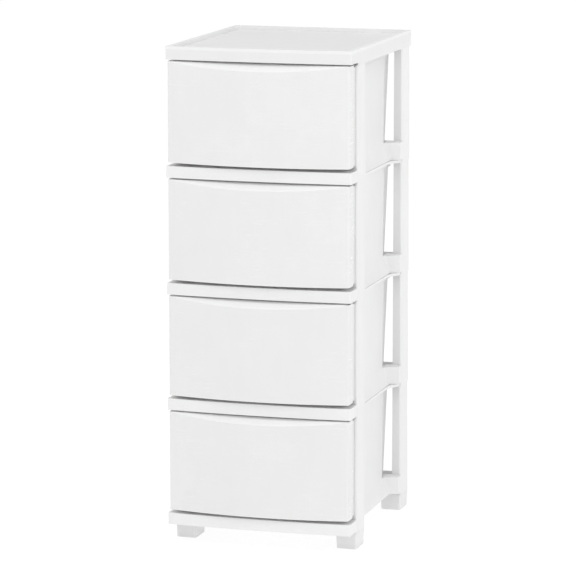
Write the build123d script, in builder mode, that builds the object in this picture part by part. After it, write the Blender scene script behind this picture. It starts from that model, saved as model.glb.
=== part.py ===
from build123d import *
import math
import os

# Plastic drawer tower: four bow-fronted drawers in a stacked frame of moulded side
# frames, shelves and a tray-topped cover, standing on four block feet.
# +Z is up, the fronts face -Y, and the origin is on the floor under the middle.

os.makedirs("parts", exist_ok=True)

# ---------------------------------------------------------------- driving dimensions, mm
width = 320.0              # cover, shelf bands and posts
depth = 390.0              # from the ends of the front bands to the cover's rear edge
levels = 4                 # drawers, the first at the top
level_pitch = 197.35       # one drawer bay, from seam to seam
foot_height = 32.6
band_height = 19.5         # front band of a shelf
cover_height = 22.0        # front band of the cover
seam_overlap = 4.8         # how far a post or the cover hangs over the piece below it

band_bow = 6.0             # how far the middle of a band stands ahead of its ends
drawer_bow = 12.0          # the same for a drawer front
band_corner = 3.0

wall = 2.8                 # moulded wall of frames, shelves and cover
plate = 2.6                # flat plates, floors and bearing plates
rib = 2.0                  # stiffening ribs
rib_drop = 6.0             # depth of the ribs under a shelf or the cover
fit = 0.2                  # gap between pieces that plug together
running = 0.3              # gap between a drawer and what it slides on

post_setback = 42.0        # from the ends of the bands to the front posts
front_post_depth = 49.0
rear_post_depth = 49.0
rear_post_width = 16.0
rear_post_inset = 8.0      # from the cover's rear edge to the rear posts
post_draft = 1.2           # how much a post narrows from its foot to its shoulder
post_corner = 2.2          # sloped corner of a post
panel_recess = 25.0        # from the posts' outer faces in to the side panel
panel_fillet = 6.0         # where the panel meets the front post
panel_edge = 9.0           # length of the panel's rounded rear edge
slot_width = 28.0          # open slot between the panel and the rear post
rail_height = 31.0         # scooped rail along the foot of the panel
rail_reach = 10.0          # how far the rail's foot stands out of the panel
rail_core = 18.0           # height of the hollow under the rail
rail_line = 0.8            # height of the fine shadow line along the rail's foot
rail_step = 1.2            # how far the rail is set back in that line
curl_reach = 15.0          # from the rail's outer end to the rear post
curl_turn = 62.0           # degrees the rail turns out from the panel to meet the post
curl_fillet = 5.0
strip_turn = 34.0          # length over which the strip under a rail curves out to the post
ledge_width = 12.0         # inner ledge that carries a shelf
ledge_plate = 2.4
post_ribs = 2              # plates across each hollow post

post_peg_size = 9.0
post_peg_offset = 10.0     # from the posts' outer faces
post_peg_height = 8.0
ledge_peg_size = 6.0
ledge_peg_height = 8.0
ledge_peg_offset = 7.0     # from the panel's inner face
boss_wall = 2.3
front_peg_setback = 26.0   # ledge pegs, from the front posts' rear faces
rear_peg_setback = 20.0    # ledge pegs, from the rear posts' front faces

foot_width = 37.0
foot_draft = 1.0
foot_corner = 2.5

shelf_side_gap = 0.8       # between a shelf and the side panels
shelf_rear_inset = 1.0     # from the cover's rear edge
upstand_height = 5.0       # low lip along the rear of a shelf
runner_width = 6.0
runner_height = 1.0
runner_spread = 200.0
rib_spacing = 60.0
stop_wall_setback = 28.0   # pull-out stop wall, behind the front posts' front faces
rear_stop_height = 4.0
stop_spread = 124.0        # between the two stop tabs of a drawer
stop_width = 18.0
stop_rise = 7.0            # how far a tab stands up into the shelf above

tray_depth = 6.0           # recess of the cover's top
tray_rim = 9.0
tray_corner = 5.0

finger_gap = 6.2           # under a drawer front
head_gap = 2.8             # over a drawer front
front_side_gap = 3.0       # from a front's end to the width of the bands
front_return = 24.0        # depth of a front's side returns
front_wall = 2.6
front_corner = 5.0
front_smile = 1.2          # how far the lower edge sags at the middle
front_lip = 9.0            # lip hanging behind the top of a front
front_rib_spacing = 52.0

bin_top_drop = 7.2         # rim of a bin, under the top of its front
bin_side_gap = 4.6         # from the side panels to a bin's upper wall
bin_draft = 5.6            # how much narrower a bin's floor is, each side
bin_rear_gap = 12.0        # from the rear posts' rear faces to a bin's upper wall
bin_wall = 2.4
bin_corner = 12.0
bin_floor_edge = 5.0       # sloped edge round a bin's floor
rim_side_gap = 0.9         # from the side panels to a bin's rim
rim_thickness = 2.4
rim_lip = 6.0
rim_lip_wall = 1.6
clip_spread = 120.0
clip_width = 18.0
clip_thickness = 5.0
clip_hook = 2.0
clip_heights = (40.0, 128.0)

# ---------------------------------------------------------------- derived places
half_width = width / 2
front_y = -(depth - drawer_bow) / 2
rear_y = front_y + depth
front_post_y = (front_y + post_setback, front_y + post_setback + front_post_depth)
rear_post_y = (rear_y - rear_post_inset - rear_post_depth, rear_y - rear_post_inset)
panel_outer = half_width - panel_recess
panel_inner = panel_outer - wall
panel_rear = rear_post_y[0] - slot_width
rail_foot = panel_outer + rail_reach
curl_end = rear_post_y[0] - curl_reach
shoulder = level_pitch - seam_overlap
spigot_outer = half_width - wall - fit
rear_post_inner = half_width - rear_post_width
post_peg_x = half_width - post_peg_offset
post_peg_ys = (sum(front_post_y) / 2, sum(rear_post_y) / 2)
ledge_inner = panel_inner - ledge_width
ledge_peg_x = panel_inner - ledge_peg_offset
ledge_peg_ys = (front_post_y[1] + front_peg_setback, rear_post_y[0] - rear_peg_setback)
shelf_half = panel_inner - shelf_side_gap
shelf_step_y = front_post_y[0] - fit
shelf_rear = rear_y - shelf_rear_inset
stop_wall_y = front_post_y[0] + stop_wall_setback
front_height = level_pitch - band_height - finger_gap - head_gap
front_half = half_width - front_side_gap
front_back_y = front_y + front_return
bin_base = runner_height + running
bin_top = finger_gap + front_height - bin_top_drop
bin_half = panel_inner - bin_side_gap
bin_rear = rear_post_y[1] - bin_rear_gap
rim_half = panel_inner - rim_side_gap
rim_out = rim_half - bin_half
tab_top = level_pitch - band_height + stop_rise
drawer_travel = bin_rear - bin_wall - stop_wall_y - wall - running


# ---------------------------------------------------------------- shared operations
def block(x_span, y_span, z_span, mode=Mode.ADD):
    """A box between two values of x, of y and of z."""
    spans = (x_span, y_span, z_span)
    with Locations(tuple(sum(span) / 2 for span in spans)):
        Box(*[abs(span[1] - span[0]) for span in spans], mode=mode)


def mirrored_block(x_span, y_span, z_span, mode=Mode.ADD):
    """The same box on the right and on the left."""
    block(x_span, y_span, z_span, mode)
    block([-x for x in x_span], y_span, z_span, mode)


def peg(x, y, z_span, size, mode=Mode.ADD):
    """An upright square peg or socket."""
    with Locations((x, y, sum(z_span) / 2)):
        Box(size, size, z_span[1] - z_span[0], mode=mode)


def corner_at(vertices, x, y):
    """The corner of a sketch that lies nearest to a point."""
    return min(vertices, key=lambda v: abs(v.X - x) + abs(v.Y - y))


def round_corners(sketch, points, radius):
    """Rounds the corners of a sketch that lie at some points."""
    fillet([corner_at(sketch.vertices(), *point) for point in points], radius)


def bow_depth(x, half, bow):
    """How far a bowed line stands ahead of its ends at one place."""
    return bow * (1 - (x / half) ** 2)


# ---------------------------------------------------------------- side frame
def post_face(height):
    """Where a post's leaning outer face is at a height."""
    return half_width - post_draft * (height + seam_overlap) / (shoulder + seam_overlap)


def post_and_panel():
    """Plan of the front post with the recessed panel behind it."""
    y_front, y_back = front_post_y
    edge_y = panel_rear - panel_edge
    with BuildSketch(Plane.XY.offset(-seam_overlap)) as sketch:
        with BuildLine():
            Polyline(
                (panel_inner, panel_rear),
                (panel_inner, y_front),
                (half_width, y_front),
                (half_width, y_back),
                (panel_outer, y_back),
                (panel_outer, edge_y),
            )
            TangentArc((panel_outer, edge_y), (panel_inner + wall / 4, panel_rear), tangent=(0, 1))
            Line((panel_inner + wall / 4, panel_rear), (panel_inner, panel_rear))
        make_face()
        round_corners(sketch, [(panel_outer, y_back)], panel_fillet)
    return sketch.sketch


def lean():
    """What the posts lose as their outer faces lean in towards the shoulder."""
    with BuildSketch(Plane.XZ.offset(-rear_y)) as sketch:
        with BuildLine():
            Polyline(
                (half_width, -seam_overlap),
                (half_width, shoulder),
                (post_face(shoulder), shoulder),
                close=True,
            )
        make_face()
    return sketch.sketch


def curl_face(x, inset):
    """How far back the rail's turned face stands at one x."""
    turn = math.radians(curl_turn)
    return curl_end - (half_width - x) / math.tan(turn) + inset / math.sin(turn)


def rail_form(z_span, inner, inset):
    """The rail between two heights: sloped along the panel, then turned out to the post."""
    y_span = (front_post_y[1] - wall + inset, rear_post_y[0] + wall - inset)
    outer = half_width - inset
    slope = [(panel_outer + rail_reach * (1 - z / rail_height) - inset, z) for z in z_span]
    with BuildPart() as rail:
        with BuildSketch(Plane.XZ.offset(-y_span[1])):
            with BuildLine():
                Polyline((inner, z_span[0]), *slope, (inner, z_span[1]), close=True)
            make_face()
        extrude(amount=y_span[1] - y_span[0])
        with BuildSketch(Plane.XY.offset(z_span[0])):
            with BuildLine():
                Polyline(
                    (inner, curl_face(inner, inset)),
                    (outer, curl_face(outer, inset)),
                    (outer, y_span[1]),
                    (inner, y_span[1]),
                    close=True,
                )
            make_face()
        extrude(amount=z_span[1] - z_span[0])
        if not inset:
            x_crease = (slope[0][0] + slope[1][0]) / 2
            crease = (x_crease, curl_face(x_crease, 0), sum(z_span) / 2)
            fillet(rail.edges().sort_by_distance(crease)[0], curl_fillet)
        extrude(lean(), amount=depth, mode=Mode.SUBTRACT)
    return rail.part


def strip_plan():
    """Plan of the strip under the next rail: along the panel, then curving out to the post."""
    y_front = front_post_y[1] - wall
    y_turn = curl_end - strip_turn
    y_back = rear_post_y[0] - fit
    foot_inner = rail_foot - ledge_plate
    post_inner = spigot_outer - ledge_plate
    with BuildSketch(Plane.XY.offset(shoulder)) as sketch:
        with BuildLine():
            Polyline((foot_inner, y_turn), (foot_inner, y_front), (rail_foot, y_front), (rail_foot, y_turn))
            TangentArc((rail_foot, y_turn), (spigot_outer, curl_end), tangent=(0, 1))
            Polyline(
                (spigot_outer, curl_end),
                (spigot_outer, y_back),
                (post_inner, y_back),
                (post_inner, curl_end),
            )
            TangentArc((foot_inner, y_turn), (post_inner, curl_end), tangent=(0, 1))
        make_face()
    return sketch.sketch


def build_side_frame():
    """One bay's right side frame. Its lower seam is at z = 0."""
    post_spans = (
        (panel_inner, front_post_y),
        (rear_post_inner, rear_post_y),
    )
    hollow_outer = half_width - wall - post_draft
    with BuildPart() as frame:
        # Posts and panel, then the scooped rail from one post to the other.
        extrude(post_and_panel(), amount=seam_overlap + shoulder)
        block((rear_post_inner, half_width), rear_post_y, (-seam_overlap, shoulder))
        extrude(lean(), amount=depth, mode=Mode.SUBTRACT)
        upright = frame.edges().filter_by(lambda edge: edge.length > shoulder)
        chamfer(upright.filter_by_position(Axis.X, post_face(shoulder), half_width), post_corner)
        add(rail_form((rail_line, rail_height), panel_inner, 0))
        add(rail_form((0, rail_line), panel_inner, rail_step))
        # Spigots that the next piece up sits over.
        for x_inner, (y_front, y_back) in post_spans:
            spigot_y = (y_front + wall + fit, y_back - wall - fit)
            block((x_inner, spigot_outer), spigot_y, (shoulder - wall, level_pitch))
        # Hollows of the posts, open towards the drawer, and of the spigots.
        for x_inner, (y_front, y_back) in post_spans:
            hollow_y = (y_front + wall, y_back - wall)
            hollow_top = shoulder - wall
            block(
                (x_inner - wall, hollow_outer),
                hollow_y,
                (-seam_overlap, hollow_top),
                Mode.SUBTRACT,
            )
            block(
                (x_inner - wall, spigot_outer - wall),
                (hollow_y[0] + wall + fit, hollow_y[1] - wall - fit),
                (hollow_top - wall, level_pitch - wall),
                Mode.SUBTRACT,
            )
            # The mouth at the foot is wide enough for the spigot below.
            block(
                (x_inner - wall, spigot_outer + fit),
                hollow_y,
                (-seam_overlap, 0),
                Mode.SUBTRACT,
            )
        add(rail_form((0, rail_core), panel_outer, wall), mode=Mode.SUBTRACT)
        # The posts hang over the seam only outside the ledge of the frame below.
        block(
            (panel_inner - wall, rail_foot + fit),
            (front_post_y[0] + wall, rear_post_y[1]),
            (-seam_overlap, 0),
            Mode.SUBTRACT,
        )
        # Top of the panel, with the ledge that carries the shelf and the edge strip outside.
        ledge_y = (front_post_y[0] + wall + fit, rear_post_y[1] - wall - fit)
        block((panel_inner, panel_outer), (ledge_y[0], panel_rear), (shoulder - wall, level_pitch))
        block((ledge_inner, rail_foot), ledge_y, (level_pitch - ledge_plate, level_pitch))
        extrude(strip_plan(), amount=seam_overlap)
        block(
            (spigot_outer - ledge_plate, spigot_outer),
            (rear_post_y[0] - wall, rear_post_y[0] + wall),
            (shoulder - wall, shoulder),
        )
        # Bearing plates at the foot of the posts, and ribs across them.
        for x_inner, (y_front, y_back) in post_spans:
            rib_x = (x_inner, hollow_outer + wall / 2)
            rib_y = (y_front + wall / 2, y_back - wall / 2)
            block(rib_x, rib_y, (0, plate))
            for number in range(post_ribs):
                z_rib = shoulder * (number + 1) / (post_ribs + 1)
                block(rib_x, rib_y, (z_rib, z_rib + rib))
        # Pegs on top, and holes for the pegs of the piece below.
        for y in post_peg_ys:
            peg(post_peg_x, y, (level_pitch, level_pitch + post_peg_height), post_peg_size)
            peg(post_peg_x, y, (0, plate), post_peg_size + 2 * fit, Mode.SUBTRACT)
        for y in ledge_peg_ys:
            peg(ledge_peg_x, y, (level_pitch, level_pitch + ledge_peg_height), ledge_peg_size)
    return frame.part


# ---------------------------------------------------------------- foot
def foot_plan(height, inset):
    """Plan of a foot at a height, its corners sloped."""
    with BuildSketch(Plane.XY.offset(height)) as sketch:
        with Locations((half_width - foot_width / 2, 0)):
            Rectangle(foot_width - 2 * inset, front_post_depth - 2 * inset)
        chamfer(sketch.vertices(), foot_corner)
    return sketch.sketch


def build_foot():
    """The right foot of a pair, standing at y = 0: a hollow block under the post, a collar and a peg."""
    collar_depth = front_post_depth / 2 - wall - fit
    with BuildPart() as foot:
        block_top = foot_height - seam_overlap - fit
        loft(sections=[foot_plan(0, foot_draft), foot_plan(block_top, 0)], ruled=True)
        # The collar reaches up inside the skirt of the post.
        collar_x = (half_width - foot_width + foot_corner, spigot_outer - fit / 2)
        block(collar_x, (-collar_depth, collar_depth), (plate, foot_height))
        core_x = (collar_x[0] + wall, collar_x[1] - wall)
        core_y = (wall - collar_depth, collar_depth - wall)
        block(core_x, core_y, (plate, foot_height), Mode.SUBTRACT)
        # Cross ribs and the peg.
        middle = sum(core_x) / 2
        block(core_x, (-rib / 2, rib / 2), (plate, foot_height))
        block((middle - rib / 2, middle + rib / 2), core_y, (plate, foot_height))
        peg(post_peg_x, 0, (plate, foot_height + post_peg_height), post_peg_size)
    return foot.part


# ---------------------------------------------------------------- shelf and cover
def underside_ribs(ceiling):
    """Long ribs, the pull-out stop wall and the peg sockets under a shelf or the cover."""
    for number in range(4):
        x_rib = (number - 1.5) * rib_spacing
        y_rib = (stop_wall_y, shelf_rear - wall / 2)
        block((x_rib - rib / 2, x_rib + rib / 2), y_rib, (ceiling - rib_drop, ceiling))
    block((-shelf_half + wall / 2, shelf_half - wall / 2), (stop_wall_y, stop_wall_y + wall), (0, ceiling))
    for x in (-ledge_peg_x, ledge_peg_x):
        for y in ledge_peg_ys:
            peg(x, y, (0, ceiling), ledge_peg_size + 2 * (fit + boss_wall))
            peg(x, y, (0, ledge_peg_height + fit), ledge_peg_size + 2 * fit, Mode.SUBTRACT)


def shelf_plan(height, inset):
    """Plan of a shelf: a bowed band in front of the posts and a plate between the frames."""
    band_half = half_width - inset
    plate_half = shelf_half - inset
    y_band = front_y + inset
    y_step = shelf_step_y - inset
    y_rear = shelf_rear - inset
    with BuildSketch(Plane.XY.offset(height)) as sketch:
        with BuildLine():
            ThreePointArc((-band_half, y_band), (0, y_band - band_bow), (band_half, y_band))
            Polyline(
                (band_half, y_band),
                (band_half, y_step),
                (plate_half, y_step),
                (plate_half, y_rear),
                (-plate_half, y_rear),
                (-plate_half, y_step),
                (-band_half, y_step),
                (-band_half, y_band),
            )
        make_face()
        if not inset:
            round_corners(sketch, [(-band_half, y_band), (band_half, y_band)], band_corner)
    return sketch.sketch


def build_shelf():
    """A shelf moulded as an upturned tray. Its band stands on the seam at z = 0."""
    ceiling = band_height - plate
    with BuildPart() as shelf:
        extrude(shelf_plan(0, 0), amount=band_height)
        extrude(shelf_plan(0, wall), amount=ceiling, mode=Mode.SUBTRACT)
        underside_ribs(ceiling)
        # Short ribs stiffen the band where it reaches ahead of the posts.
        for number in range(4):
            x_rib = (number - 1.5) * rib_spacing
            y_start = front_y - bow_depth(x_rib, half_width, band_bow) + wall / 2
            block((x_rib - rib / 2, x_rib + rib / 2), (y_start, stop_wall_y), (ceiling - rib_drop, ceiling))
        # Runners for the drawer, its rear stops and the lip along the rear edge.
        runner_x = (runner_spread / 2 - runner_width / 2, runner_spread / 2 + runner_width / 2)
        runner_y = (front_back_y + wall, bin_rear - bin_draft)
        mirrored_block(runner_x, runner_y, (band_height, band_height + runner_height))
        stop_x = (stop_spread / 2 - stop_width / 2, stop_spread / 2 + stop_width / 2)
        stop_y = (bin_rear - bin_draft + 2 * running, bin_rear - bin_draft + 2 * running + wall)
        mirrored_block(stop_x, stop_y, (band_height, band_height + rear_stop_height))
        block(
            (-shelf_half, shelf_half),
            (shelf_rear - wall, shelf_rear),
            (band_height, band_height + upstand_height),
        )
    return shelf.part


def cover_plan(height, inset, corner):
    """Plan of the cover, with its bowed front."""
    half = half_width - inset
    y_front = front_y + inset
    y_rear = rear_y - inset
    corners = [(-half, y_front), (half, y_front), (half, y_rear), (-half, y_rear)]
    with BuildSketch(Plane.XY.offset(height)) as sketch:
        with BuildLine():
            ThreePointArc(corners[0], (0, y_front - band_bow), corners[1])
            Polyline(*corners[1:], corners[0])
        make_face()
        if corner:
            round_corners(sketch, corners, corner)
    return sketch.sketch


def build_cover():
    """The cover: a raised rim round a sunk tray, and a skirt that hangs over the posts."""
    ceiling = cover_height - tray_depth - wall
    with BuildPart() as cover:
        extrude(cover_plan(-seam_overlap, 0, band_corner), amount=cover_height + seam_overlap)
        extrude(cover_plan(-seam_overlap, wall, 0), amount=ceiling + seam_overlap, mode=Mode.SUBTRACT)
        # The front band is not as deep as the skirt over the posts.
        block(
            (-half_width, half_width),
            (front_y - band_bow, shelf_step_y),
            (-seam_overlap, 0),
            Mode.SUBTRACT,
        )
        # Sunk tray, and the hollow under the rim round it.
        tray_floor = cover_height - tray_depth
        extrude(cover_plan(tray_floor, tray_rim, tray_corner), amount=tray_depth, mode=Mode.SUBTRACT)
        with BuildSketch(Plane.XY.offset(ceiling)) as rim_hollow:
            add(cover_plan(0, wall, 0))
            add(cover_plan(0, tray_rim - wall, 0), mode=Mode.SUBTRACT)
        extrude(amount=tray_depth, mode=Mode.SUBTRACT)
        underside_ribs(ceiling)
        # Bearers that rest on the ledges of the top side frames.
        bearer_x = (shelf_half - wall, shelf_half)
        bearer_y = (front_post_y[0] + wall, rear_post_y[1] - wall)
        mirrored_block(bearer_x, bearer_y, (0, ceiling + fit))
        for x in (-post_peg_x, post_peg_x):
            for y in post_peg_ys:
                peg(x, y, (0, ceiling + wall), post_peg_size + 2 * (fit + boss_wall))
                peg(x, y, (0, post_peg_height + fit), post_peg_size + 2 * fit, Mode.SUBTRACT)
    return cover.part


# ---------------------------------------------------------------- drawer
def front_plan(height, inset):
    """Plan of a drawer front, bowed forward, with its side returns."""
    half = front_half - inset
    y_front = front_y + inset
    y_back = front_back_y + (inset and wall)
    with BuildSketch(Plane.XY.offset(height)) as sketch:
        with BuildLine():
            ThreePointArc((-half, y_front), (0, y_front - drawer_bow), (half, y_front))
            Polyline((half, y_front), (half, y_back), (-half, y_back), (-half, y_front))
        make_face()
        if not inset:
            round_corners(sketch, [(-half, y_front), (half, y_front)], front_corner)
    return sketch.sketch


def bevel_prism(top, shift):
    """What lies ahead of the sloped plane that runs from a front's straight top edge."""
    reach = 3 * drawer_bow
    y_edge = front_y + shift
    with BuildSketch(Plane.YZ.offset(-half_width)) as sketch:
        with BuildLine():
            Polyline(
                (y_edge, top),
                (y_edge - reach, top - reach),
                (y_edge - reach, top + reach),
                (y_edge, top + reach),
                close=True,
            )
        make_face()
    return sketch.sketch


def front_hollow(top):
    """The hollow inside a drawer front, under its top wall."""
    floor = finger_gap + front_wall
    with BuildPart() as hollow:
        extrude(front_plan(floor, front_wall), amount=top - floor)
        extrude(bevel_prism(top, front_wall / 2), amount=width, mode=Mode.SUBTRACT)
    return hollow.part


def build_drawer_front():
    """A hollow bowed front, open to the rear. The band below it ends at z = 0."""
    top = finger_gap + front_height
    bottom = finger_gap - front_smile
    with BuildPart() as front:
        extrude(front_plan(bottom, 0), amount=top - bottom)
        # The lower edge sags towards the middle.
        with BuildSketch(Plane.XZ.offset(-front_back_y)):
            with BuildLine():
                ThreePointArc((-front_half, finger_gap), (0, bottom), (front_half, finger_gap))
                Polyline(
                    (front_half, finger_gap),
                    (front_half, top),
                    (-front_half, top),
                    (-front_half, finger_gap),
                )
            make_face()
        extrude(amount=front_return + drawer_bow, mode=Mode.INTERSECT)
        extrude(bevel_prism(top, 0), amount=width, mode=Mode.SUBTRACT)
        add(front_hollow(top - front_wall), mode=Mode.SUBTRACT)
        # Upright ribs, the lip behind the top edge and the clips that hook into the bin.
        rib_z = (finger_gap, top - front_lip / 2)
        for number in range(5):
            x_rib = (number - 2) * front_rib_spacing
            y_start = front_y - bow_depth(x_rib, front_half, drawer_bow) + front_wall / 2
            block((x_rib - rib / 2, x_rib + rib / 2), (y_start, front_back_y), rib_z)
        extrude(bevel_prism(top, 0), amount=width, mode=Mode.SUBTRACT)
        block(
            (-front_half + wall, front_half - wall),
            (front_back_y - front_wall, front_back_y),
            (top - front_lip, top),
        )
        clip_x = (clip_spread / 2 - clip_width / 2, clip_spread / 2 + clip_width / 2)
        clip_start = front_y - bow_depth(clip_x[1], front_half, drawer_bow) + front_wall / 2
        hook_y = (front_back_y + bin_wall + fit, front_back_y + bin_wall + fit + clip_hook)
        for z in clip_heights:
            clip_z = (z - clip_thickness / 2, z + clip_thickness / 2)
            mirrored_block(clip_x, (clip_start, hook_y[1]), clip_z)
            mirrored_block(clip_x, hook_y, (z, clip_z[1] + clip_hook))
    return front.part


def bin_plan(half, y_span, radius, height):
    """Plan of a bin at a height, with its rear corners rounded."""
    y_front, y_back = y_span
    with BuildSketch(Plane.XY.offset(height)) as sketch:
        with Locations((0, (y_front + y_back) / 2)):
            Rectangle(2 * half, y_back - y_front)
        fillet(sketch.vertices().group_by(Axis.Y)[-1], radius)
    return sketch.sketch


def bin_form(inset, floor):
    """The outer form of a bin or, with an inset, the hollow inside it."""
    stations = (
        (floor, bin_draft + bin_floor_edge),
        (floor + bin_floor_edge, bin_draft),
        (bin_top, 0),
    )
    plans = []
    for height, narrowing in stations:
        y_span = (front_back_y + inset, bin_rear - inset - narrowing)
        plans.append(bin_plan(bin_half - inset - narrowing, y_span, bin_corner - inset, height))
    with BuildPart() as form:
        loft(sections=plans, ruled=True)
    return form.part


def build_drawer_bin():
    """A drafted bin with a turned rim. The band below it ends at z = 0."""
    with BuildPart() as drawer:
        # Rim turned out along the sides and the rear, and down in a lip.
        rim_y = (front_back_y + bin_wall / 2, bin_rear + rim_out)
        rim_corner = bin_corner + rim_out
        lip_y = (front_back_y, rim_y[1] - rim_lip_wall)
        lip_foot = bin_top - rim_lip
        extrude(bin_plan(rim_half, rim_y, rim_corner, lip_foot), amount=rim_lip)
        extrude(
            bin_plan(rim_half - rim_lip_wall, lip_y, rim_corner - rim_lip_wall, lip_foot),
            amount=rim_lip - rim_thickness,
            mode=Mode.SUBTRACT,
        )
        # Walls and floor.
        add(bin_form(0, bin_base))
        add(bin_form(bin_wall, bin_base + plate), mode=Mode.SUBTRACT)
        # Tabs that meet the stop wall under the shelf above, and windows for the front's clips.
        tab_x = (stop_spread / 2 - stop_width / 2, stop_spread / 2 + stop_width / 2)
        mirrored_block(tab_x, (bin_rear - bin_wall, bin_rear), (bin_top - rim_lip, tab_top))
        clip_x = (clip_spread / 2 - clip_width / 2 - fit, clip_spread / 2 + clip_width / 2 + fit)
        for z in clip_heights:
            clip_z = (z - clip_thickness / 2 - fit, z + clip_thickness / 2 + fit)
            mirrored_block(clip_x, (front_back_y - fit, front_back_y + bin_wall + fit), clip_z, Mode.SUBTRACT)
    return drawer.part


# ---------------------------------------------------------------- placing and writing
def write_piece(name, source, place, left=False):
    """Sets a finished piece in its place, mirrored for the left side, and writes it."""
    with BuildPart() as piece:
        with Locations(place):
            add(source)
        if left:
            mirror(about=Plane.YZ, mode=Mode.REPLACE)
    piece.part.label = name
    export_step(piece.part, f"parts/{name}.step")


side_frame = build_side_frame()
foot = build_foot()
shelf = build_shelf()
drawer_bin = build_drawer_bin()
drawer_front = build_drawer_front()

for level in range(1, levels + 1):
    seam = foot_height + (levels - level) * level_pitch
    shelf_name = "base_shelf" if level == levels else f"divider_shelf_{level}"
    write_piece(shelf_name, shelf, (0, 0, seam))
    write_piece(f"right_side_frame_{level}", side_frame, (0, 0, seam))
    write_piece(f"left_side_frame_{level}", side_frame, (0, 0, seam), left=True)
    write_piece(f"drawer_bin_{level}", drawer_bin, (0, 0, seam + band_height))
    write_piece(f"drawer_front_{level}", drawer_front, (0, 0, seam + band_height))

for end, foot_y in zip(("front", "rear"), post_peg_ys):
    write_piece(f"{end}_right_foot", foot, (0, foot_y, 0))
    write_piece(f"{end}_left_foot", foot, (0, foot_y, 0), left=True)

write_piece("top_cover", build_cover(), (0, 0, foot_height + levels * level_pitch))

print(f"drawer travel {drawer_travel:.2f} mm")
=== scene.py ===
import math

import bmesh
import bpy
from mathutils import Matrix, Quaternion, Vector


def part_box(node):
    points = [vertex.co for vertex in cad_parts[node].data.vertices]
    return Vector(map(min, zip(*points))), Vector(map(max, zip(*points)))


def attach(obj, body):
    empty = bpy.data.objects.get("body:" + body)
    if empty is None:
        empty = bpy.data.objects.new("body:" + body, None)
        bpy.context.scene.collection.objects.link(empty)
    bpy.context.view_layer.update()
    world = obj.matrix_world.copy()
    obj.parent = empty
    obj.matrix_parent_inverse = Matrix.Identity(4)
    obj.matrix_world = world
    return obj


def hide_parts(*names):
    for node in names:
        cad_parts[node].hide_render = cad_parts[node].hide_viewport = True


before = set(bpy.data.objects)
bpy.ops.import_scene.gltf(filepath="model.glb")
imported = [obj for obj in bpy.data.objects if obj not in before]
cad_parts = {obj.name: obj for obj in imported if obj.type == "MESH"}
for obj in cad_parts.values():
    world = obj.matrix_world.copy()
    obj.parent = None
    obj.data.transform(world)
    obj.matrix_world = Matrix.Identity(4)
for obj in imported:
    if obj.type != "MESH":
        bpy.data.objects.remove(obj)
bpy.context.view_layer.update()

# ------------------------------------------------------------------------------------------
# Block feet
# Four hollow blocks of white moulded plastic stand under the posts. Each pushes up into a
# post with a square peg, and its sole is dulled where it meets the floor.

half = 0.5
tone_reach = 0.06
flow_share = 0.5
hair_range = (0.60, 0.72)
scuffed_range = (0.45, 0.65)
scuff_shade = 0.12
wear_and_shade_depth = 0.5
painted_highlight_lift = 0.45
cloud_gloss = 0.10
etch_gloss = 0.06
ripple_relief = 0.25
scuff_relief = 0.3
relief_strength = 0.35
relief_height = 0.00006
plastic_ior = 1.49
glow_share = 0.12
glow_depth = 0.006

weld_distance = 0.000001
flat_angle = math.radians(0.4)
crease_angle = math.radians(32)
edge_segments = 2

foot_edge = 0.0010
sole_height = 0.001
scuff_height = 0.012
worn_range = (0.35, 0.6)


class Field:
    """A value that changes over a surface. Sums and products of fields add Math nodes."""

    def __init__(self, finish, socket):
        self.finish = finish
        self.socket = socket

    def _with(self, operation, first, second):
        return self.finish.node("ShaderNodeMath", {"operation": operation}, {0: first, 1: second})

    def __add__(self, other):
        return self._with("ADD", self, other)

    __radd__ = __add__

    def __sub__(self, other):
        return self._with("SUBTRACT", self, other)

    def __rsub__(self, other):
        return self._with("SUBTRACT", other, self)

    def __mul__(self, other):
        return self._with("MULTIPLY", self, other)

    __rmul__ = __mul__


class Finish:
    """A material in the making: its shader, and one method that adds any other node."""

    def __init__(self, name):
        self.material = bpy.data.materials.new(name)
        self.material.use_nodes = True
        self.tree = self.material.node_tree
        self.shader = self.tree.nodes["Principled BSDF"]

    def node(self, kind, settings=None, sockets=None, output=0):
        """Adds a node, with its settings first and then the values or links of its sockets."""
        made = self.tree.nodes.new(kind)
        for key, value in (settings or {}).items():
            if key == "stops":
                for element, (place, colour) in zip(made.color_ramp.elements, value):
                    element.position = place
                    element.color = colour
            else:
                setattr(made, key, value)
        for key, value in (sockets or {}).items():
            if isinstance(value, Field):
                self.tree.links.new(value.socket, made.inputs[key])
            else:
                made.inputs[key].default_value = value
        return Field(self, made.outputs[output])

    def place(self, scale):
        """The surface's own coordinates, stretched by a scale for each axis."""
        spot = self.node("ShaderNodeTexCoord", output="Object")
        return self.node("ShaderNodeMapping", None, {"Vector": spot, "Scale": scale})

    def axis(self, letter):
        """One of the surface's own coordinates."""
        spot = self.node("ShaderNodeTexCoord", output="Object")
        return self.node("ShaderNodeSeparateXYZ", None, {"Vector": spot}, letter)

    def mottle(self, place, scale, detail, roughness=0.5, distortion=0.0):
        """Soft spots from 0 to 1, finer as the scale grows."""
        sockets = {
            "Vector": place,
            "Scale": scale,
            "Detail": detail,
            "Roughness": roughness,
            "Distortion": distortion,
        }
        return self.node("ShaderNodeTexNoise", None, sockets)

    def span(self, value, low, high):
        """A soft step that is 0 below one value and 1 above another."""
        sockets = {"Value": value, "From Min": low, "From Max": high}
        return self.node("ShaderNodeMapRange", {"interpolation_type": "SMOOTHSTEP"}, sockets)

    def feed(self, socket, value):
        """Links a field to one of the shader's sockets, or sets a number or colour there."""
        if isinstance(value, Field):
            self.tree.links.new(value.socket, self.shader.inputs[socket])
        else:
            self.shader.inputs[socket].default_value = value


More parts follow.
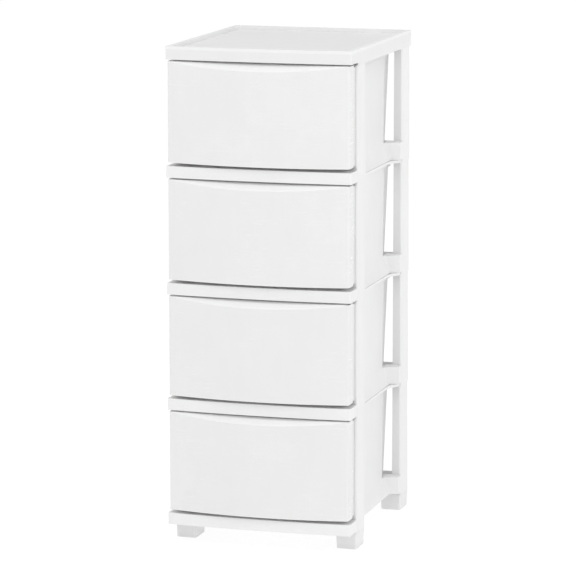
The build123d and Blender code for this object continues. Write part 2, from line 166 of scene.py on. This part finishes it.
def moulded_plastic(name, colour, roughness, grain, cloud, wear_and_painted_shade=None, dent=None, painted_highlight=None):
    """White moulded plastic: flow clouds in its colour, an etched grain, hairline scuffs, a sheen."""
    finish = Finish(name)
    even = finish.place((1, 1, 1))
    clouds = finish.mottle(even, scale=9.0, detail=3.0)
    flow = finish.mottle(finish.place((1, 1, 0.25)), scale=46.0, detail=2.0, distortion=0.6)
    etch = finish.mottle(even, scale=1400.0, detail=2.0, roughness=0.6)
    ripple = finish.mottle(even, scale=85.0, detail=1.0, roughness=0.4)
    hairs = finish.mottle(finish.place((1, 1, 14)), scale=30.0, detail=4.0, distortion=1.2)
    scuffs = finish.span(hairs, *hair_range) * finish.span(clouds, *scuffed_range)

    shade = (clouds - half) * cloud + (flow - half) * (cloud * flow_share) + half - scuffs * scuff_shade
    # A given mask darkens the colour: floor wear on the feet, painted shade with dust in the cover's
    # tray.
    if wear_and_painted_shade is not None:
        shade = shade - wear_and_painted_shade(finish, clouds) * wear_and_shade_depth
    # A given painted highlight lightens the colour where its mask is 1.
    if painted_highlight is not None:
        shade = shade + painted_highlight(finish) * painted_highlight_lift
    dim = [part * (1 - tone_reach) for part in colour]
    pale = [min(1.0, part * (1 + tone_reach)) for part in colour]
    stops = [(0.0, (*dim, 1.0)), (1.0, (*pale, 1.0))]
    finish.feed("Base Color", finish.node("ShaderNodeValToRGB", {"stops": stops}, {"Fac": shade}))

    dullness = (clouds - half) * cloud_gloss + (etch - half) * etch_gloss + scuffs * scuff_shade
    finish.feed("Roughness", dullness + roughness)

    relief = etch * grain + ripple * ripple_relief - scuffs * scuff_relief
    if dent is not None:
        relief = relief - dent(finish)
    bump = {"Height": relief, "Strength": relief_strength, "Distance": relief_height}
    finish.feed("Normal", finish.node("ShaderNodeBump", None, bump))

    finish.feed("IOR", plastic_ior)
    finish.feed("Subsurface Weight", glow_share)
    finish.feed("Subsurface Radius", (glow_depth, glow_depth, glow_depth))
    finish.feed("Subsurface Scale", 1.0)
    return finish


def rounded_piece(node, body, finish, edge):
    """A copy of a moulding with its arrises rounded as the mould's are, standing for the node."""
    source = bmesh.new()
    source.from_mesh(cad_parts[node].data)
    bmesh.ops.remove_doubles(source, verts=source.verts, dist=weld_distance)
    bmesh.ops.dissolve_limit(
        source,
        angle_limit=flat_angle,
        verts=source.verts,
        edges=source.edges,
        delimit={"NORMAL"},
    )
    for face in source.faces:
        face.smooth = True
    for crease in source.edges:
        crease.smooth = len(crease.link_faces) == 2 and crease.calc_face_angle(0) < crease_angle
    draft = bpy.data.meshes.new(f"{node}_draft")
    source.to_mesh(draft)
    source.free()
    holder = bpy.data.objects.new(f"{node}_holder", draft)
    bpy.context.scene.collection.objects.link(holder)
    bevel = holder.modifiers.new("edge", "BEVEL")
    bevel.width = edge
    bevel.segments = edge_segments
    bevel.limit_method = "ANGLE"
    bevel.angle_limit = crease_angle
    bevel.harden_normals = True
    graph = bpy.context.evaluated_depsgraph_get()
    mesh = bpy.data.meshes.new_from_object(holder.evaluated_get(graph))
    bpy.data.objects.remove(holder)
    mesh.name = f"{node}_moulding"
    mesh.materials.clear()
    mesh.materials.append(finish.material)
    piece = bpy.data.objects.new(f"{node}_moulding", mesh)
    bpy.context.scene.collection.objects.link(piece)
    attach(piece, body)
    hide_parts(node)


def floor_scuff(finish, clouds):
    """Dull scuffing that fades out a few millimetres above the floor."""
    low_down = 1 - finish.span(finish.axis("Z"), sole_height, scuff_height)
    return low_down * finish.span(clouds, *worn_range)


foot_plastic = moulded_plastic(
    "foot_plastic", (0.82, 0.82, 0.82), roughness=0.46, grain=0.9, cloud=0.9, wear_and_painted_shade=floor_scuff
)
for end in ("front", "rear"):
    for side in ("left", "right"):
        rounded_piece(f"{end}_{side}_foot", "cabinet", foot_plastic, foot_edge)

# ------------------------------------------------------------------------------------------
# Shelves
# One base shelf and three divider shelves, each moulded as an upturned tray with a bowed
# band in front. They lie on the ledges of the side frames, or on the feet.

shelf_edge = 0.0009
shelf_plastic = moulded_plastic("shelf_plastic", (0.83, 0.83, 0.83), roughness=0.34, grain=0.6, cloud=0.7)
for shelf in ("base_shelf", "divider_shelf_1", "divider_shelf_2", "divider_shelf_3"):
    rounded_piece(shelf, "cabinet", shelf_plastic, shelf_edge)

# ------------------------------------------------------------------------------------------
# Side frames
# Left and right frames stack in four bays. Each is one moulding: a hollow front post, a
# sunk side panel, an open slot, a hollow rear post and a scooped rail along its foot.

frame_edge = 0.0014
bays = range(1, 5)
frame_plastic = moulded_plastic("frame_plastic", (0.83, 0.83, 0.83), roughness=0.36, grain=0.7, cloud=0.8)
for bay in bays:
    for side in ("left", "right"):
        rounded_piece(f"{side}_side_frame_{bay}", "cabinet", frame_plastic, frame_edge)

# ------------------------------------------------------------------------------------------
# Top cover
# A shallow upturned tray of the same plastic with a raised rim. Its skirt hangs over the
# top posts, and its sunk face has a slightly coarser grain, painted shade and a little fine dust.

cover_edge = 0.0010
rim_height = 0.0055
tray_shade_step = 0.001
painted_tray_shade = 0.6
dust_clouds = 0.4
tray_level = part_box("top_cover")[1][2] - rim_height


def sunk_tray_shade_and_dust(finish, clouds):
    """Painted shade makes the sunk tray a little greyer than its rim, with clouds of fine dust."""
    sunk = 1 - finish.span(finish.axis("Z"), tray_level, tray_level + tray_shade_step)
    return sunk * (clouds * dust_clouds + painted_tray_shade)


cover_plastic = moulded_plastic(
    "cover_plastic", (0.84, 0.84, 0.84), roughness=0.36, grain=0.9, cloud=0.7, wear_and_painted_shade=sunk_tray_shade_and_dust
)
rounded_piece("top_cover", "cabinet", cover_plastic, cover_edge)

# ------------------------------------------------------------------------------------------
# Drawer bins
# Four drafted bins with a turned rim slide on low runners. Their walls are the thinnest of
# the tower, and a faint painted glow lightens them where they sit in shade.

bin_edge = 0.0006
bin_painted_glow = 0.07
bin_plastic = moulded_plastic("bin_plastic", (0.84, 0.84, 0.85), roughness=0.30, grain=0.4, cloud=0.6)
# Painted glow: the bins give off a little light of their own.
bin_plastic.feed("Emission Color", (1.0, 1.0, 1.0, 1.0))
bin_plastic.feed("Emission Strength", bin_painted_glow)
for bay in bays:
    rounded_piece(f"drawer_bin_{bay}", f"drawer_{bay}", bin_plastic, bin_edge)

# ------------------------------------------------------------------------------------------
# Drawer fronts
# Bowed hollow fronts of glossy plastic clip on to the bins. A sloped crescent and a fine
# bead run along each top edge, and two cheeks carry the sides of a front back to the posts.

front_edge = 0.0008
rib_spacing = 0.052
rib_mark_reach = 0.005
rib_mark_depth = 1.6
crescent_facing = (0.0, -0.7071, 0.7071)
crescent_range = (0.93, 0.985)
cheek_size = Vector((0.0026, 0.0166, 0.1640))
cheek_inset = 0.0022
cheek_overlap = 0.0004
cheek_drop = 0.0010
cheek_edge = 0.0005
bow_depth = 0.024
bead_radius = 0.0011
bead_sides = 12
bead_setback = 0.0002
bead_lift = 0.0001
bead_end_gap = 0.004


def sink_marks(finish):
    """Faint hollows in the face where the upright ribs stand behind it."""
    folded = {0: finish.axis("X"), 1: rib_spacing / 2}
    away = finish.node("ShaderNodeMath", {"operation": "PINGPONG"}, folded)
    return (1 - finish.span(away, 0.0, rib_mark_reach)) * rib_mark_depth


def painted_crescent_highlight(finish):
    """Paints the crescent's slope a shade lighter than the face: a painted highlight."""
    facing = finish.node("ShaderNodeNewGeometry", output="Normal")
    sides = {0: facing, 1: crescent_facing}
    likeness = finish.node("ShaderNodeVectorMath", {"operation": "DOT_PRODUCT"}, sides, "Value")
    return finish.span(likeness, *crescent_range)


def node_group(name, inputs):
    """A geometry tree with its named inputs. Gives the tree, its input node and their sockets."""
    tree = bpy.data.node_groups.new(name, "GeometryNodeTree")
    sockets = {}
    for label, kind in inputs.items():
        sockets[label] = tree.interface.new_socket(label, in_out="INPUT", socket_type=kind)
    tree.interface.new_socket("Geometry", in_out="OUTPUT", socket_type="NodeSocketGeometry")
    return tree, tree.nodes.new("NodeGroupInput"), sockets


def grow(tree, kind, settings=None, sockets=None):
    """Adds a geometry node, with its settings first and then the values or links of its sockets."""
    made = tree.nodes.new(kind)
    for key, value in (settings or {}).items():
        setattr(made, key, value)
    for key, value in (sockets or {}).items():
        if isinstance(value, bpy.types.NodeSocket):
            tree.links.new(value, made.inputs[key])
        else:
            made.inputs[key].default_value = value
    return made


def finish_tree(tree, shape, material):
    """Ends a tree: real geometry, with its material."""
    real = grow(tree, "GeometryNodeRealizeInstances", None, {"Geometry": shape})
    painting = {"Geometry": real.outputs["Geometry"], "Material": material}
    painted = grow(tree, "GeometryNodeSetMaterial", None, painting)
    grow(tree, "NodeGroupOutput", None, {"Geometry": painted.outputs["Geometry"]})


def cheek_tree():
    """Two upright cheeks, one at each end of a front, that carry its returns back to the posts."""
    inputs = {
        "Size": "NodeSocketVector",
        "First place": "NodeSocketVector",
        "Step": "NodeSocketVector",
        "Material": "NodeSocketMaterial",
    }
    tree, given, sockets = node_group("front_cheeks", inputs)
    plate = grow(tree, "GeometryNodeMeshCube", None, {"Size": given.outputs["Size"]})
    pair = {
        "Count": 2,
        "Start Location": given.outputs["First place"],
        "Offset": given.outputs["Step"],
    }
    places = grow(tree, "GeometryNodeMeshLine", {"mode": "OFFSET"}, pair)
    standing = {"Points": places.outputs["Mesh"], "Instance": plate.outputs["Mesh"]}
    cheeks = grow(tree, "GeometryNodeInstanceOnPoints", None, standing)
    finish_tree(tree, cheeks.outputs["Instances"], given.outputs["Material"])
    return tree, sockets


def bead_tree():
    """A rolled bead that follows the straight top edge of a front."""
    inputs = {
        "Start": "NodeSocketVector",
        "End": "NodeSocketVector",
        "Radius": "NodeSocketFloat",
        "Material": "NodeSocketMaterial",
    }
    tree, given, sockets = node_group("top_bead", inputs)
    ends = {"Start": given.outputs["Start"], "End": given.outputs["End"]}
    path = grow(tree, "GeometryNodeCurvePrimitiveLine", None, ends)
    round_section = {"Resolution": bead_sides, "Radius": given.outputs["Radius"]}
    ring = grow(tree, "GeometryNodeCurvePrimitiveCircle", None, round_section)
    rolled = {"Curve": path.outputs["Curve"], "Profile Curve": ring.outputs["Curve"], "Fill Caps": True}
    bead = grow(tree, "GeometryNodeCurveToMesh", None, rolled)
    finish_tree(tree, bead.outputs["Mesh"], given.outputs["Material"])
    return tree, sockets


def grown_piece(name, tree, sockets, values, body, edge=0.0):
    """Bakes a geometry tree to a plain mesh that rides on a body."""
    holder = bpy.data.objects.new(f"{name}_holder", bpy.data.meshes.new(f"{name}_draft"))
    bpy.context.scene.collection.objects.link(holder)
    recipe = holder.modifiers.new("recipe", "NODES")
    recipe.node_group = tree
    for label, value in values.items():
        recipe[sockets[label].identifier] = value
    if edge:
        bevel = holder.modifiers.new("edge", "BEVEL")
        bevel.width = edge
        bevel.segments = edge_segments
    graph = bpy.context.evaluated_depsgraph_get()
    mesh = bpy.data.meshes.new_from_object(holder.evaluated_get(graph))
    bpy.data.objects.remove(holder)
    mesh.name = name
    piece = bpy.data.objects.new(name, mesh)
    bpy.context.scene.collection.objects.link(piece)
    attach(piece, body)


# The fronts' crescents carry a painted highlight.
front_plastic = moulded_plastic(
    "front_plastic",
    (0.805, 0.805, 0.805),
    roughness=0.26,
    grain=0.4,
    cloud=0.45,
    dent=sink_marks,
    painted_highlight=painted_crescent_highlight,
)
cheeks, cheek_sockets = cheek_tree()
bead, bead_sockets = bead_tree()
for bay in bays:
    drawer = f"drawer_{bay}"
    front = f"drawer_front_{bay}"
    rounded_piece(front, drawer, front_plastic, front_edge)

    low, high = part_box(front)
    first_x = low[0] + cheek_inset + cheek_size.x / 2
    last_x = high[0] - cheek_inset - cheek_size.x / 2
    cheek_y = high[1] + cheek_size.y / 2 - cheek_overlap
    cheek_z = (low[2] + high[2]) / 2 - cheek_drop
    cheek_values = {
        "Size": cheek_size,
        "First place": Vector((first_x, cheek_y, cheek_z)),
        "Step": Vector((last_x - first_x, 0.0, 0.0)),
        "Material": front_plastic.material,
    }
    grown_piece(f"{front}_cheeks", cheeks, cheek_sockets, cheek_values, drawer, cheek_edge)

    bead_y = high[1] - bow_depth + bead_setback
    bead_z = high[2] + bead_lift
    bead_values = {
        "Start": Vector((low[0] + bead_end_gap, bead_y, bead_z)),
        "End": Vector((high[0] - bead_end_gap, bead_y, bead_z)),
        "Radius": bead_radius,
        "Material": front_plastic.material,
    }
    grown_piece(f"{front}_top_bead", bead, bead_sockets, bead_values, drawer)

# ------------------------------------------------------------------------------------------
# Floor, light and camera
# A plain white floor without edges under an even white studio sky. Soft boxes stand high in
# front, at the left and at the right, and the camera stands where the photograph's stood.

white = (1.0, 1.0, 1.0, 1.0)
floor_reach = 60.0
floor_grey = (0.15, 0.15, 0.15, 1.0)
floor_glow = 0.86
floor_roughness = 0.9
sky_strength = 0.70
tower_middle = Vector((0.0, 0.0, 0.42))

photo_width = 576.0
focal_pixels = 3326.9
sensor = 36.0
camera_place = Vector((1.5979, -5.3911, 1.3942))
turn = math.radians(16.551)
tilt = math.radians(9.884)
roll = math.radians(-0.020)


def stage_floor():
    """A wide pale floor that fades into the background."""
    mesh = bpy.data.meshes.new("floor")
    corners = [
        (-floor_reach, -floor_reach, 0),
        (floor_reach, -floor_reach, 0),
        (floor_reach, floor_reach, 0),
        (-floor_reach, floor_reach, 0),
    ]
    mesh.from_pydata(corners, [], [(0, 1, 2, 3)])
    floor = bpy.data.objects.new("floor", mesh)
    bpy.context.scene.collection.objects.link(floor)
    finish = Finish("floor_paper")
    finish.feed("Base Color", floor_grey)
    finish.feed("Roughness", floor_roughness)
    finish.feed("Emission Color", white)
    finish.feed("Emission Strength", floor_glow)
    mesh.materials.append(finish.material)


def soft_box(name, place, width, power):
    """A large square light that points at the middle of the tower."""
    lamp = bpy.data.lights.new(name, "AREA")
    lamp.shape = "SQUARE"
    lamp.size = width
    lamp.energy = power
    holder = bpy.data.objects.new(name, lamp)
    holder.location = place
    holder.rotation_mode = "QUATERNION"
    holder.rotation_quaternion = (tower_middle - Vector(place)).to_track_quat("-Z", "Y")
    bpy.context.scene.collection.objects.link(holder)


stage_floor()
soft_box("left_light", place=(-1.6, -3.6, 2.4), width=2.6, power=5.0)
soft_box("right_light", place=(3.9, -0.9, 2.6), width=2.4, power=40.0)
soft_box("high_front_light", place=(-0.4, -3.9, 6.7), width=3.4, power=150.0)

world = bpy.data.worlds.new("studio")
world.use_nodes = True
sky = world.node_tree.nodes["Background"]
sky.inputs["Color"].default_value = white
sky.inputs["Strength"].default_value = sky_strength
bpy.context.scene.world = world
bpy.context.scene.view_settings.view_transform = "Standard"

lens = bpy.data.cameras.new("camera")
lens.sensor_width = sensor
lens.lens = focal_pixels / photo_width * sensor
camera = bpy.data.objects.new("camera", lens)
sight = Vector((-math.sin(turn) * math.cos(tilt), math.cos(turn) * math.cos(tilt), -math.sin(tilt)))
camera.location = camera_place
camera.rotation_mode = "QUATERNION"
camera.rotation_quaternion = sight.to_track_quat("-Z", "Y") @ Quaternion((0.0, 0.0, 1.0), roll)
bpy.context.scene.collection.objects.link(camera)
bpy.context.scene.camera = camera
